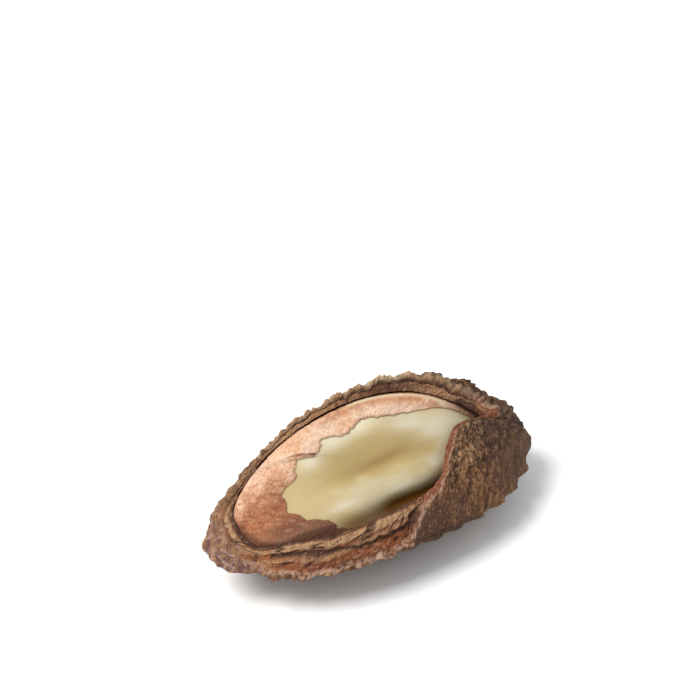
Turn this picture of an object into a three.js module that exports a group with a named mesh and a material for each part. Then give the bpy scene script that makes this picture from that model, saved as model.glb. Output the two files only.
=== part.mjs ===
// A brazil nut in its shell, cracked open along one face.
// The shell is a long three-sided seed case, corky outside, with a wedge broken out of one face. The kernel
// lies loose inside it, and its thin brown skin has come away where the shell is open.
// Millimetres and degrees. +X runs along the nut, +Z is up, and the nut rests on its base face.

import * as THREE from 'three';

// The three long faces of the nut, the same for the shell, the hollow in it and the kernel: the opened face,
// the base and the back. looks: where the face looks, from -Y (0) over +Z (90). crown: how much it bulges,
// per mm. taper: how much further it stands from the long axis at the +X end.
const FACES = [
  { looks: 45.3, crown: 0.0175, taper: -0.067 },
  { looks: -90, crown: 0.0474, taper: 0.048 },
  { looks: 142.8, crown: -0.0048, taper: 0.064 },
];
const TAPER_LENGTH = 25;

// depths: from the long axis to each face at mid length. half: the reach of the -X and the +X end.
// power: how blunt each end is. edge: how sharp the ridges between the faces are.
const SHELL = { depths: [8.96, 6.36, 11.5], half: [24.5, 23.1], power: [2.6, 2.35], edge: 9 };
const CAVITY = { depths: [7.55, 4.9, 10.45], half: [23.45, 21], power: [2.9, 2.35], edge: 9 };
const KERNEL = { depths: [6.75, 4.15, 9.65], half: [22.2, 19.6], power: [3.1, 2.35], edge: 6.2 };

const AXIS_HEIGHT = 6.0; // of the long axis over the flat spot that the nut rests on
const BOX_CENTRE = [-0.74, 0.866]; // x and y of the middle of the nut, from the long axis
const LOFT_CENTRE = new THREE.Vector3(-3, 0, 0); // every outline is swept out from this point
const LOFT_POLE = new THREE.Vector3(0, 0.245, -1).normalize(); // down into the flat spot

// Outlines as rows of [x, turn]. turn is the angle round the long axis, from straight out of the opened face
// (0) towards the top ridge (+).
const RIM = [
  [-20.8, 36], [-20.8, 14], [-20.1, -10], [-18.6, -20.5], [-16.2, -21.5], [-13.4, -24], [-10.8, -25],
  [-6.5, -24], [-1.6, -22.6], [1.2, -20.8], [3.9, -16.6], [5.4, -8], [6.3, 0.2], [7.5, 12], [9, 22.5],
  [10.4, 29], [12.6, 32.8], [15.8, 38.5], [14, 47], [11.1, 52], [6.8, 58.5], [2.9, 61.2], [-1, 62.8],
  [-5.6, 63], [-10.2, 63.2], [-14, 64], [-17, 66.5], [-19.4, 65], [-20.6, 52],
];
const BARK_EDGE = [
  [-22.3, 52], [-22.6, 18], [-21.8, -20], [-20.6, -42], [-18, -47.5], [-14.5, -47.5], [-9.1, -46.5],
  [-5.5, -46], [-2.2, -42.5], [-0.8, -35], [0.7, -27.5], [3.8, -19.6], [5.4, -12], [6.9, -0.5], [7.8, 9],
  [9.1, 18.5], [10.6, 25.5], [13.2, 29.5], [17.6, 35], [16, 49], [12, 58.5], [8, 63.8], [4, 66.2],
  [0, 67.6], [-5, 67.6], [-10, 68], [-14.5, 71], [-18.4, 78], [-21.3, 77],
];
const SKIN_EDGE = [
  [-14.3, 30], [-14.4, 18], [-13.7, 8.5], [-12.9, -1.5], [-11.4, -8.5], [-9.9, -17], [-9.5, -24],
  [-5, -36], [2, -38], [9, -28], [14, -5], [15.6, 20], [14.9, 38], [13.2, 47.5], [11.3, 50.5],
  [7.9, 50.1], [5.4, 49.9], [2.6, 50.1], [0.5, 50.1], [-0.7, 51.7], [-1.9, 52.9], [-2.9, 50.8],
  [-4.6, 48], [-5.7, 50], [-7.1, 50.3], [-7.8, 45.6], [-8.5, 43.2], [-9.4, 47.4], [-10.4, 48.6],
  [-11.3, 43.6], [-11.9, 38.8], [-12.8, 38], [-13.8, 35.8],
];

// The broken edge, from the bark (across 0) to the hollow (across 1). depth: 0 at the bark's surface, 1 at
// the hollow's. Along the sides the inner layer of the shell stands up as a lip behind a groove, and under
// the cap left at the +X end the break is one steep slope.
const EDGE_ROWS = [
  { across: 0.07, lipDepth: 0.36, slopeDepth: 0.16 },
  { across: 0.42, lipDepth: 0.52, slopeDepth: 0.44 },
  { across: 0.66, lipDepth: 0.86, slopeDepth: 0.62 },
  { across: 0.84, lipDepth: 0.42, slopeDepth: 0.74 },
  { across: 1, lipDepth: 0.5, slopeDepth: 0.8 },
];
const UNDERCUT = 0.12; // how far the hollow starts under the cap's edge, in radians of the sweep
const CAP_START = [-1, 2.5]; // x where the lip gives way to the cap's slope
const CAP_TURN = [34, 46]; // and the turn where the cap ends

// Relief of the corky bark.
const KEEL = { height: 0.42, width: 0.17 }; // the ridges between the faces
const RIB = { height: 0.24, pitch: 3.3, slant: 0.35 }; // they cross the ridges like the strands of a cord
const WAVE = { height: 0.18, length: 7.3, twist: 3, lobes: 2, drift: 0.21 }; // low swells on the faces
const WRINKLE = { height: 0.1, pitch: 2.4, sway: 0.9, lobes: 3 }; // cross wrinkles on the faces
const FACE_SINK = 0.28; // how far the faces lie below the outline that the ridges keep
const PLAIN_FROM = [-0.6, 1.6]; // the relief fades out from 1.6 mm over the resting spot
const STEEPEST = 0.35; // least cosine used where a face runs obliquely to the sweep

// Kernel: a shallow hollow runs along its middle, a swelling fills the shell under the far rim, and the near
// side falls away from the lip.
const GROOVE = { x: -4.5, turn: 24, length: 7.5, width: 13, height: -0.3 };
const FAR_SWELLING = { x: -5, turn: 50, length: 13, width: 13, height: 0.75 };
const NEAR_FALL = { x: 1.5, turn: -28, length: 9, width: 15, height: -1.4 };
const SWELL = { height: 0.12, length: 9, twist: 2 };

const SKIN_GAP = 0.13;
const SKIN_THICKNESS = 0.33;

const SHELL_COLUMNS = 96;
const SHELL_RINGS = 25; // from the bark's edge to the pole
const HOLLOW_RINGS = 13;
const KERNEL_COLUMNS = 60;
const WINDOW_RINGS = 9; // bare kernel inside the skin's edge
const SKIN_RINGS = 14;
const CAP_SPREAD = 14; // mm a radian: draws columns to where the sweep fans out
const OUTLINE_SAMPLES = 720;
const COLUMN_SAMPLES = 60;
const SMALL_STEP = 0.01; // mm, for slopes
const FARTHEST = 50; // mm, past every surface
const HALVINGS = 36; // of that distance, to find a surface

const WHOLE_TURN = 2 * Math.PI;
const radians = THREE.MathUtils.degToRad;
const smoothstep = THREE.MathUtils.smoothstep;
const LONG_AXIS = new THREE.Vector3(1, 0, 0);
for (const face of FACES) {
  face.out = new THREE.Vector3(0, -Math.cos(radians(face.looks)), Math.sin(radians(face.looks)));
  face.side = new THREE.Vector3().crossVectors(LONG_AXIS, face.out);
}
const [OPENED] = FACES;
const SWEEP_X = new THREE.Vector3().crossVectors(LOFT_POLE, LONG_AXIS).cross(LOFT_POLE).normalize();
const SWEEP_Y = new THREE.Vector3().crossVectors(LOFT_POLE, SWEEP_X);

function alongTerm(x, body) {
  const end = x < 0 ? 0 : 1;
  return (Math.abs(x) / body.half[end]) ** body.power[end];
}

function faceTerms(point, body) {
  const along = alongTerm(point.x, body);
  return FACES.map((face, i) => {
    const side = point.dot(face.side);
    const depth = body.depths[i] * (1 + (face.taper * point.x) / TAPER_LENGTH);
    return (point.dot(face.out) + face.crown * side * side) / depth + along;
  });
}

// 1 on the body's surface, less inside it and more outside.
function gauge(point, body) {
  const sum = faceTerms(point, body).reduce((total, term) => total + Math.max(term, 0) ** body.edge, 0);
  return sum ** (1 / body.edge);
}

// Distance from a start inside the body to its surface.
function reach(start, direction, body) {
  const point = new THREE.Vector3();
  let near = 0;
  let far = FARTHEST;
  for (let halving = 0; halving < HALVINGS; halving += 1) {
    const middle = (near + far) / 2;
    if (gauge(point.copy(start).addScaledVector(direction, middle), body) < 1) near = middle;
    else far = middle;
  }
  return near;
}

function surfacePoint(x, turn, body) {
  const start = new THREE.Vector3(x, 0, 0);
  const direction = OPENED.out.clone().multiplyScalar(Math.cos(radians(turn)));
  direction.addScaledVector(OPENED.side, -Math.sin(radians(turn)));
  return start.clone().addScaledVector(direction, reach(start, direction, body));
}

function turnOf(point) {
  return THREE.MathUtils.radToDeg(Math.atan2(-point.dot(OPENED.side), point.dot(OPENED.out)));
}

// Cosine between the sweep's direction and the surface's normal there.
function squareness(point, direction, body) {
  const here = gauge(point, body);
  const rises = ['x', 'y', 'z'].map((axis) => {
    const beside = point.clone();
    beside[axis] += SMALL_STEP;
    return gauge(beside, body) - here;
  });
  return Math.max(new THREE.Vector3(...rises).normalize().dot(direction), STEEPEST);
}

// The sweep: bearing goes round the opening, and fall goes from straight up through it (0) to the pole (PI).
function sweepDirection(bearing, fall) {
  return LOFT_POLE.clone().multiplyScalar(-Math.cos(fall))
    .addScaledVector(SWEEP_X, Math.cos(bearing) * Math.sin(fall))
    .addScaledVector(SWEEP_Y, Math.sin(bearing) * Math.sin(fall));
}

function sweepAngles(point) {
  const away = point.clone().sub(LOFT_CENTRE).normalize();
  return {
    bearing: Math.atan2(away.dot(SWEEP_Y), away.dot(SWEEP_X)),
    fall: Math.acos(-away.dot(LOFT_POLE)),
  };
}

// An outline as a closed smooth curve on a body, sampled as bearings and falls in the order of the bearings.
function outline(rows, body) {
  const corners = rows.map(([x, turn]) => surfacePoint(x, turn, body));
  const curve = new THREE.CatmullRomCurve3(corners, true, 'catmullrom', 0.5);
  const samples = curve.getSpacedPoints(OUTLINE_SAMPLES).slice(0, -1);
  return samples.map((point) => ({ point, ...sweepAngles(point) })).sort((a, b) => a.bearing - b.bearing);
}

function turnFrom(bearing, nextBearing) {
  return (nextBearing - bearing + WHOLE_TURN) % WHOLE_TURN;
}

function fallAt(samples, bearing) {
  const after = samples.findIndex((sample) => sample.bearing > bearing);
  const next = samples[Math.max(after, 0)];
  const last = samples[(Math.max(after, 0) + samples.length - 1) % samples.length];
  const gap = turnFrom(last.bearing, next.bearing);
  const part = gap > 0 ? turnFrom(last.bearing, bearing) / gap : 0;
  return last.fall + (next.fall - last.fall) * Math.min(part, 1);
}

// Columns round an outline, evenly spaced by its length and by the bearing together.
function columnBearings(samples, count) {
  const sums = [0];
  samples.forEach((sample, i) => {
    const next = samples[(i + 1) % samples.length];
    const turned = turnFrom(sample.bearing, next.bearing);
    sums.push(sums[i] + sample.point.distanceTo(next.point) + CAP_SPREAD * turned);
  });
  return Array.from({ length: count }, (_, column) => {
    const wanted = (sums[samples.length] * (column + 0.5)) / count;
    const i = sums.findIndex((sum) => sum > wanted) - 1;
    const next = samples[(i + 1) % samples.length];
    const turned = turnFrom(samples[i].bearing, next.bearing);
    return samples[i].bearing + (turned * (wanted - sums[i])) / (sums[i + 1] - sums[i]);
  });
}

// Falls from one fall to another along a column, at equal steps over the body's surface.
function evenFalls(bearing, from, to, count, body) {
  const falls = [];
  const lengths = [0];
  let last;
  for (let i = 0; i <= COLUMN_SAMPLES; i += 1) {
    const fall = from + ((to - from) * i) / COLUMN_SAMPLES;
    const direction = sweepDirection(bearing, fall);
    const point = direction.multiplyScalar(reach(LOFT_CENTRE, direction, body));
    if (last) lengths.push(lengths[i - 1] + point.distanceTo(last));
    falls.push(fall);
    last = point;
  }
  return Array.from({ length: count + 1 }, (_, ring) => {
    const wanted = lengths[COLUMN_SAMPLES] * (ring / count);
    const i = Math.max(lengths.findIndex((length) => length >= wanted), 1);
    const part = (wanted - lengths[i - 1]) / (lengths[i] - lengths[i - 1]);
    return falls[i - 1] + (falls[i] - falls[i - 1]) * part;
  });
}

function barkRelief(point) {
  const terms = faceTerms(point, SHELL).sort((a, b) => b - a);
  const ridge = Math.exp(-(((terms[0] - terms[1]) / KEEL.width) ** 2));
  const turn = radians(turnOf(point));
  const rib = Math.sin((WHOLE_TURN * (point.x + RIB.slant * point.z)) / RIB.pitch);
  const swell = Math.sin((WHOLE_TURN * point.x) / WAVE.length + WAVE.twist * turn);
  const wave = swell * Math.sin(WAVE.lobes * turn + WAVE.drift * point.x);
  const sway = WRINKLE.sway * Math.sin(WRINKLE.lobes * turn);
  const wrinkle = Math.sin((WHOLE_TURN * (point.x + sway)) / WRINKLE.pitch);
  const faces = WAVE.height * wave + WRINKLE.height * wrinkle;
  const plain = smoothstep(point.z + AXIS_HEIGHT, ...PLAIN_FROM);
  return plain * (ridge * (KEEL.height + RIB.height * rib) + (1 - ridge) * faces - FACE_SINK);
}

// A point of the shell: depth 0 is the bark with its relief, cut off flat where the nut rests, and 1 is the
// hollow.
function shellPoint(direction, depth) {
  const outer = reach(LOFT_CENTRE, direction, SHELL);
  const point = LOFT_CENTRE.clone().addScaledVector(direction, outer);
  let bark = outer + barkRelief(point) / squareness(point, direction, SHELL);
  if (direction.z < 0) bark = Math.min(bark, AXIS_HEIGHT / -direction.z);
  const hollow = reach(LOFT_CENTRE, direction, CAVITY);
  return LOFT_CENTRE.clone().addScaledVector(direction, bark + (hollow - bark) * depth);
}

function kernelPoint(direction, proud) {
  const out = reach(LOFT_CENTRE, direction, KERNEL);
  const point = LOFT_CENTRE.clone().addScaledVector(direction, out);
  const turn = turnOf(point);
  const forms = [GROOVE, FAR_SWELLING, NEAR_FALL].map((form) => {
    const along = (point.x - form.x) / form.length;
    const round = (turn - form.turn) / form.width;
    return form.height * Math.exp(-(along ** 2) - round ** 2);
  });
  const swell = Math.sin((WHOLE_TURN * point.x) / SWELL.length + SWELL.twist * radians(turn)) - 1;
  const relief = SWELL.height * swell + forms[0] + forms[1] + forms[2] + proud;
  return LOFT_CENTRE.clone().addScaledVector(direction, out + relief / squareness(point, direction, KERNEL));
}

// A closed body from rings of points, the first and the last of one point. Each quad is cut by its shorter
// diagonal.
function closedLoft(rings) {
  const positions = [];
  const starts = rings.map((ring) => {
    const start = positions.length / 3;
    ring.forEach((point) => positions.push(point.x, point.y, point.z));
    return start;
  });
  const indices = [];
  for (let ring = 0; ring + 1 < rings.length; ring += 1) {
    const [here, next] = [rings[ring], rings[ring + 1]];
    const [start, nextStart] = [starts[ring], starts[ring + 1]];
    const count = Math.max(here.length, next.length);
    for (let i = 0; i < count; i += 1) {
      const j = (i + 1) % count;
      if (here.length === 1) {
        indices.push(start, nextStart + i, nextStart + j);
      } else if (next.length === 1) {
        indices.push(start + j, start + i, nextStart);
      } else if (here[j].distanceTo(next[i]) < here[i].distanceTo(next[j])) {
        indices.push(start + j, start + i, nextStart + i, start + j, nextStart + i, nextStart + j);
      } else {
        indices.push(start + j, start + i, nextStart + j, start + i, nextStart + i, nextStart + j);
      }
    }
  }
  const geometry = new THREE.BufferGeometry();
  geometry.setAttribute('position', new THREE.Float32BufferAttribute(positions, 3));
  geometry.setIndex(indices);
  geometry.computeVertexNormals();
  return geometry;
}

// Columns of points, each the same number of points, turned into rings between two shared end points.
function ringsOf(columns, first, last) {
  const middle = columns[0].map((_, ring) => columns.map((column) => column[ring]));
  return [[first], ...middle, [last]];
}

function lipShare(x, turn) {
  return 1 - smoothstep(x, ...CAP_START) * (1 - smoothstep(turn, ...CAP_TURN));
}

function shellGeometry() {
  const rim = outline(RIM, SHELL);
  const bark = outline(BARK_EDGE, SHELL);
  const columns = columnBearings(rim, SHELL_COLUMNS).map((bearing) => {
    const rimFall = fallAt(rim, bearing);
    const barkFall = fallAt(bark, bearing);
    const outside = evenFalls(bearing, Math.PI, barkFall, SHELL_RINGS, SHELL).slice(1);
    const rimPoint = shellPoint(sweepDirection(bearing, rimFall), 0);
    const lip = lipShare(rimPoint.x, turnOf(rimPoint));
    const hollowFall = rimFall + UNDERCUT * (1 - lip);
    const inside = evenFalls(bearing, hollowFall, Math.PI, HOLLOW_RINGS, CAVITY).slice(0, -1);
    const edge = EDGE_ROWS.map(({ across, lipDepth, slopeDepth }) => {
      const direction = sweepDirection(bearing, barkFall + (rimFall - barkFall) * across);
      return shellPoint(direction, slopeDepth + (lipDepth - slopeDepth) * lip);
    });
    return [
      ...outside.map((fall) => shellPoint(sweepDirection(bearing, fall), 0)),
      ...edge,
      ...inside.map((fall) => shellPoint(sweepDirection(bearing, fall), 1)),
    ];
  });
  return closedLoft(ringsOf(columns, shellPoint(LOFT_POLE, 0), shellPoint(LOFT_POLE, 1)));
}

function skinColumns() {
  const edge = outline(SKIN_EDGE, KERNEL);
  return columnBearings(edge, KERNEL_COLUMNS).map((bearing) => {
    const edgeFall = fallAt(edge, bearing);
    return { bearing, edgeFall, covered: evenFalls(bearing, edgeFall, Math.PI, SKIN_RINGS, KERNEL) };
  });
}

function kernelGeometry(columns) {
  const points = columns.map(({ bearing, edgeFall, covered }) => {
    const step = edgeFall / WINDOW_RINGS;
    const bare = Array.from({ length: WINDOW_RINGS - 1 }, (_, ring) => step * (ring + 1));
    const falls = [...bare, ...covered.slice(0, -1)].reverse();
    return falls.map((fall) => kernelPoint(sweepDirection(bearing, fall), 0));
  });
  return closedLoft(ringsOf(points, kernelPoint(LOFT_POLE, 0), kernelPoint(LOFT_POLE.clone().negate(), 0)));
}

function skinGeometry(columns) {
  const outer = SKIN_GAP + SKIN_THICKNESS;
  const points = columns.map(({ bearing, covered }) => {
    const directions = covered.slice(0, -1).map((fall) => sweepDirection(bearing, fall));
    return [
      ...directions.toReversed().map((direction) => kernelPoint(direction, outer)),
      ...directions.map((direction) => kernelPoint(direction, SKIN_GAP)),
    ];
  });
  return closedLoft(ringsOf(points, kernelPoint(LOFT_POLE, outer), kernelPoint(LOFT_POLE, SKIN_GAP)));
}

function piece(name, geometry, color, roughness) {
  const material = new THREE.MeshStandardMaterial({ color, roughness, metalness: 0 });
  const mesh = new THREE.Mesh(geometry, material);
  mesh.name = name;
  return mesh;
}

const kernelColumns = skinColumns();
const nut = new THREE.Group();
nut.add(piece('shell', shellGeometry(), 0x8a5a43, 0.85));
nut.add(piece('kernel', kernelGeometry(kernelColumns), 0xe0d2a0, 0.45));
nut.add(piece('kernel_skin', skinGeometry(kernelColumns), 0xc08a66, 0.7));
nut.position.set(-BOX_CENTRE[0], -BOX_CENTRE[1], AXIS_HEIGHT);

export default nut;
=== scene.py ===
"""A brazil nut cracked open in its shell: the looks of its three pieces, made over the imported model.

The shapes are worked out in millimetres from the nut's long axis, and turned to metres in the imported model's
place when a mesh is made.
"""

import math

import bpy
import numpy as np
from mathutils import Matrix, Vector


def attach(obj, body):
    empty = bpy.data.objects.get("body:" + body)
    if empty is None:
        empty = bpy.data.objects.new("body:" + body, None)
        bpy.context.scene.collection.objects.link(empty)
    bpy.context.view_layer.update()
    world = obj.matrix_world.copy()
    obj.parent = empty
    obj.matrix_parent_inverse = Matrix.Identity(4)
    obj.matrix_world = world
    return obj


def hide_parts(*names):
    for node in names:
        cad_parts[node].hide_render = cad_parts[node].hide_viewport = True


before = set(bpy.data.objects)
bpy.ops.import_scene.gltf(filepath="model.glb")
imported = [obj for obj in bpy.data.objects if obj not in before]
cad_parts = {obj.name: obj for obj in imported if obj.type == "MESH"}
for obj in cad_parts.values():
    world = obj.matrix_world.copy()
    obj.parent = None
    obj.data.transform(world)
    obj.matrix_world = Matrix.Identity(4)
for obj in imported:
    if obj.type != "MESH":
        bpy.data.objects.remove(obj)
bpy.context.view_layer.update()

MM = 0.001
X, Y, Z = 0, 1, 2

# ---- The camera, at the photograph's viewing angle.
AIM = Vector((17.155, 32.11, -0.11)) * MM
CAMERA_AZIMUTH, CAMERA_ELEVATION = math.radians(-32), math.radians(36)
CAMERA_DISTANCE = 268 * MM
CAMERA_LENS, CAMERA_SENSOR = 100, 36
CAMERA_SEES = (0.01, 20)

# ---- The floor and the light.
FLOOR_HALF = 2
KEY_PLACE, KEY_POWER, KEY_SIZE, KEY_COLOUR = Vector((-0.5, 0.12, 0.75)), 7.6, 0.45, (1, 0.98, 0.95)
SKY_COLOUR, SKY_STRENGTH = (0.97, 0.99, 1, 1), 0.68

# ---- The nut's main shapes, as in the part's own source.
AXIS_HEIGHT = 6.0
BOX_CENTRE = np.array([-0.74, 0.866, 0.0])
TAPER_LENGTH = 25
FACES = [
    {"looks": 45.3, "crown": 0.0175, "taper": -0.067},
    {"looks": -90, "crown": 0.0474, "taper": 0.048},
    {"looks": 142.8, "crown": -0.0048, "taper": 0.064},
]
SHELL = {"depths": (8.96, 6.36, 11.5), "half": (24.5, 23.1), "power": (2.6, 2.35), "edge": 9}
CAVITY = {"depths": (7.55, 4.9, 10.45), "half": (23.45, 21), "power": (2.9, 2.35), "edge": 9}
KERNEL = {"depths": (6.75, 4.15, 9.65), "half": (22.2, 19.6), "power": (3.1, 2.35), "edge": 6.2}

RIM = [
    (-20.8, 36), (-20.8, 14), (-20.1, -10), (-18.6, -20.5), (-16.2, -21.5), (-13.4, -24), (-10.8, -25),
    (-6.5, -24), (-1.6, -22.6), (1.2, -20.8), (3.9, -16.6), (5.4, -8), (6.3, 0.2), (7.5, 12), (9, 22.5),
    (10.4, 29), (12.6, 32.8), (15.8, 38.5), (14, 47), (11.1, 52), (6.8, 58.5), (2.9, 61.2), (-1, 62.8),
    (-5.6, 63), (-10.2, 63.2), (-14, 64), (-17, 66.5), (-19.4, 65), (-20.6, 52),
]
BARK_EDGE = [
    (-22.3, 52), (-22.6, 18), (-21.8, -20), (-20.6, -42), (-18, -47.5), (-14.5, -47.5), (-9.1, -46.5),
    (-5.5, -46), (-2.2, -42.5), (-0.8, -35), (0.7, -27.5), (3.8, -19.6), (5.4, -12), (6.9, -0.5), (7.8, 9),
    (9.1, 18.5), (10.6, 25.5), (13.2, 29.5), (17.6, 35), (16, 49), (12, 58.5), (8, 63.8), (4, 66.2),
    (0, 67.6), (-5, 67.6), (-10, 68), (-14.5, 71), (-18.4, 78), (-21.3, 77),
]
SKIN_EDGE = [
    (-14.3, 30), (-14.4, 18), (-13.7, 8.5), (-12.9, -1.5), (-11.4, -8.5), (-9.9, -17), (-9.5, -24),
    (-5, -36), (2, -38), (9, -28), (14, -5), (15.6, 20), (14.9, 38), (13.2, 47.5), (11.3, 50.5),
    (7.9, 50.1), (5.4, 49.9), (2.6, 50.1), (0.5, 50.1), (-0.7, 51.7), (-1.9, 52.9), (-2.9, 50.8),
    (-4.6, 48), (-5.7, 50), (-7.1, 50.3), (-7.8, 45.6), (-8.5, 43.2), (-9.4, 47.4), (-10.4, 48.6),
    (-11.3, 43.6), (-11.9, 38.8), (-12.8, 38), (-13.8, 35.8),
]

# Rows of the broken edge from the bark to the hollow, which are 0 and 1 across: across, depth where the inner
# layer stands up as a lip, and depth on the cap's slope. Depth is 0 at the bark and 1 at the hollow.
EDGE_ROWS = [
    (0, 0, 0), (0.07, 0.36, 0.1), (0.3, 0.5, 0.35), (0.42, 0.55, 0.44), (0.55, 0.85, 0.53), (0.68, 0.5, 0.64),
    (0.84, 0.42, 0.74), (0.91, 0.46, 0.77), (1, 0.85, 0.8),
]
# Along the far side the bark rolls over the break as a cord, over a narrow crevice and the thin inner layer.
FAR_EDGE_ROWS = [
    (0, 0), (0.3, 0.08), (0.5, 0.3), (0.58, 0.85), (0.66, 0.85), (0.74, 0.6), (0.88, 0.66), (1, 0.95),
]
# Towards the +X end the inner layer there is broad, with a ragged dark gap behind it.
BROAD_EDGE_ROWS = [
    (0, 0), (0.1, 0.12), (0.17, 0.8), (0.42, 0.9), (0.52, 0.5), (0.75, 0.55), (0.9, 0.7), (1, 0.95),
]
UNDERCUT = 0.12

KEEL_HEIGHT, KEEL_WIDTH = 0.42, 0.17
RIB_HEIGHT, RIB_PITCH, RIB_SLANT = 0.24, 3.3, 0.35
WAVE_HEIGHT, WAVE_LENGTH, WAVE_TWIST, WAVE_LOBES, WAVE_DRIFT = 0.18, 7.3, 3, 2, 0.21
FACE_SINK = 0.28
PLAIN_FROM = (-0.6, 1.6)
THINNEST, THIN_BREAK = 0.45, 0.8
STEEPEST = 0.35

# ---- Ranges along x in mm, or round the nut in degrees of turn. Two numbers say where a part sets in and where
# it is full, and four say also where it starts to die away and where it is gone.
CAP_START, CAP_TURN = (-1, 2.5), (34, 46)
FAR_START, FAR_TURN, BROAD_START = (-21, -18), (44, 54), (-2, 4)
LIP_BROADENS, NEAR_SIDE_ENDS = (-12.5, -8), (10, 40)
TIP_START = (17.5, 21.5)  # towards -X
FLAKY_TURN, BACK_TURN, FLAKY_WANDER, FLAKY_CELL = (-28, -6), (78, 105), 9, 3.5
SMOOTH_X, SMOOTH_TURN = (-6, -2, 5, 9), (20, 32)

# ---- The shell's smaller forms. Lengths, heights, depths and cells of noise are in mm.
FURROWS = {"height": 0.19, "cell": (0.9, 3, 4), "sharp": 2.6}
FLAKES = {"height": 0.42, "cell": (1.1, 1.5, 1.9), "rise": 1.7, "sink": 0.6}
BARK_LUMPS = {"height": 0.24, "cell": 1.5}
BARK_WANDER, WANDER_CELL, BARK_SINK = 0.45, 1.9, 0.1
FAR_WEAR = {"depth": 0.55, "turn": (42, 50), "x": (-12, -3, 14, 16.5)}
CAP_WEAR = {"depth": 0.5, "turn": (-20, -8, 30, 38), "x": (3.5, 6)}
FOOT_GROOVE = {"depth": 0.3, "slant": 0.5, "turn": (-45, 2.2), "x": (-2, 0, 7, 10)}
# Tears and crumbs of the outlines: height, and how many to a radian round the opening.
TEARS, CRUMBS, RIM_TEARS = (0.34, 7.5), (0.17, 24), (0.16, 9)
CAP_TEARS = 0.15
LIP_BROADENING = 0.35
CORD = {"middle": 0.05, "radius": 0.62, "height": 0.36, "sink": 0.04, "lowers": 0.8, "x": (4, 9)}
SCALLOPS = {"length": 1.35, "wander": 0.35, "wander_length": 2.3, "slant": 0.45}
FINS = {
    "turn": (-10, 45, 100, 130), "height": 0.35, "cell": 1.4, "rag_height": 0.3, "rag_cell": (4, 1.6, 1.6),
    "sink": 0.6, "rise": 0.5, "rise_start": (15, 19), "corner_turn": (60, 75), "corner_start": (17.5, 19.5),
}
STUB = {"radius": (2, 5), "tilt": (-2.5, 1.5)}
FIBRES = {"height": 0.12, "cell": (3.4, 0.42, 1), "stir": 0.2}
FINE_FIBRES = {"height": 0.1, "cell": (1.3, 0.24, 1)}
CREVICES = {"depth": 0.35, "cell": (5.5, 1.1, 1), "width": 0.07, "patch": 2.2, "on_slope": 0.15, "least": 0.3}
BREAK_LUMPS = {"height": 0.14, "cell": 0.9}
FIBRE_SLANT = (0.96, 0.28)
# The near lip's layers, as distances from the rim: its brink, the first layer, a slot and the second layer.
BRINK, FIRST_LAYER = (0.1, 0.35), (0.2, 0.45, 0.95, 1.35)
SLOT = {"from_rim": 1.7, "moves": 0.7, "depth": 0.2, "width": 0.16, "widens": 0.25, "x": (-19.5, -17)}
SLOT_WIDEST = (-14.5, 2.6)
SECOND_LAYER = {"from_rim": 2.35, "moves": -0.6, "height": 0.12, "width": 0.34}
LAYER_DRIFT, DRIFT_CELL = 0.25, (7, 3, 1)

# ---- Places on the kernel and its skin: x, turn, and the half size each way.
KERNEL_FORMS = {
    "groove": {"place": (-4.5, 24, 7.5, 13), "height": -0.3},
    "far_swelling": {"place": (-5, 50, 13, 13), "height": 0.75},
    "near_fall": {"place": (1.5, -28, 9, 15), "height": -1.4},
}
# Pale cream patches on the flesh: partly its own colour, partly painted highlight along its upper border and on
# its rounded lower part.
CREAM = [
    (-9.6, 44, 1.5, 7), (-6.1, 48, 1.9, 6), (-2.4, 50, 2, 5), (3.5, 44, 3, 5), (-0.2, -8, 2.2, 5),
    (5.6, 3, 1.6, 7), (-8, -4, 2.2, 5), (7.6, 36, 3, 9), (11, 36, 3, 9),
]
# The ochre spot lies over the flesh's groove: partly its own colour, partly painted shade in the groove.
OCHRE, ORANGE, GREY = (-1.2, 25, 4.6, 6), (-18.2, -8, 1.5, 9), (-15.6, -21, 2, 7)
SWELL_HEIGHT, SWELL_LENGTH, SWELL_TWIST = 0.12, 9, 2
FLESH_LUMPS = {"height": 0.035, "cell": (5, 1.6, 1.6)}
FLESH_RIPPLES = {"height": 0.012, "cell": (2.4, 0.55, 0.55)}
SKIN_GAP, SKIN_THICKNESS = 0.13, 0.33
SKIN_THINS = {"least": 0.12, "way": (0, 1.8)}
SKIN_TEARS, SKIN_CRUMBS = (0.028, 9), (0.012, 30)
VEINS = {"height": 0.035, "cell": (3.2, 0.8, 0.8)}
WRINKLES = {"height": 0.05, "cell": (0.95, 0.34, 0.34)}
SWELLING = {"share": 0.72, "turn": (25, 42), "x": (11, 16), "from_rim": (0.3, 1.5)}

SHELL_COLUMNS = 640
BARK_RINGS, EDGE_RINGS, HOLLOW_RINGS = 92, 36, 22
KERNEL_COLUMNS, WINDOW_RINGS, COVERED_RINGS = 360, 90, 60
SKIN_COLUMNS, SKIN_RINGS, SKIN_INSIDE_RINGS = 480, 110, 24
BARK_CROWDING, SKIN_CROWDING = 1.35, 1.3
CAP_SPREAD = 14
OUTLINE_SAMPLES, CURVE_STEPS, COLUMN_SAMPLES = 1440, 40, 60
SMALL_STEP, FARTHEST, HALVINGS = 0.01, 50, 30
WHOLE_TURN = 2 * math.pi


# ---- Masks and noise. Points are rows of x, y, z, and a unit of noise is one cell.
def ramp(value, low, high):
    """0 below low, 1 above high, smooth between them."""
    part = np.clip((value - low) / (high - low), 0, 1)
    return part * part * (3 - 2 * part)


def fading(value, low, high):
    """1 below low, 0 above high."""
    return 1 - ramp(value, low, high)


def window(value, low, full, high, gone):
    """1 from full to high, 0 below low and above gone."""
    return ramp(value, low, full) * fading(value, high, gone)


def hump(value, middle, width):
    """1 in the middle, falling off alike on both sides."""
    return np.exp(-(((value - middle) / width) ** 2))


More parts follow.
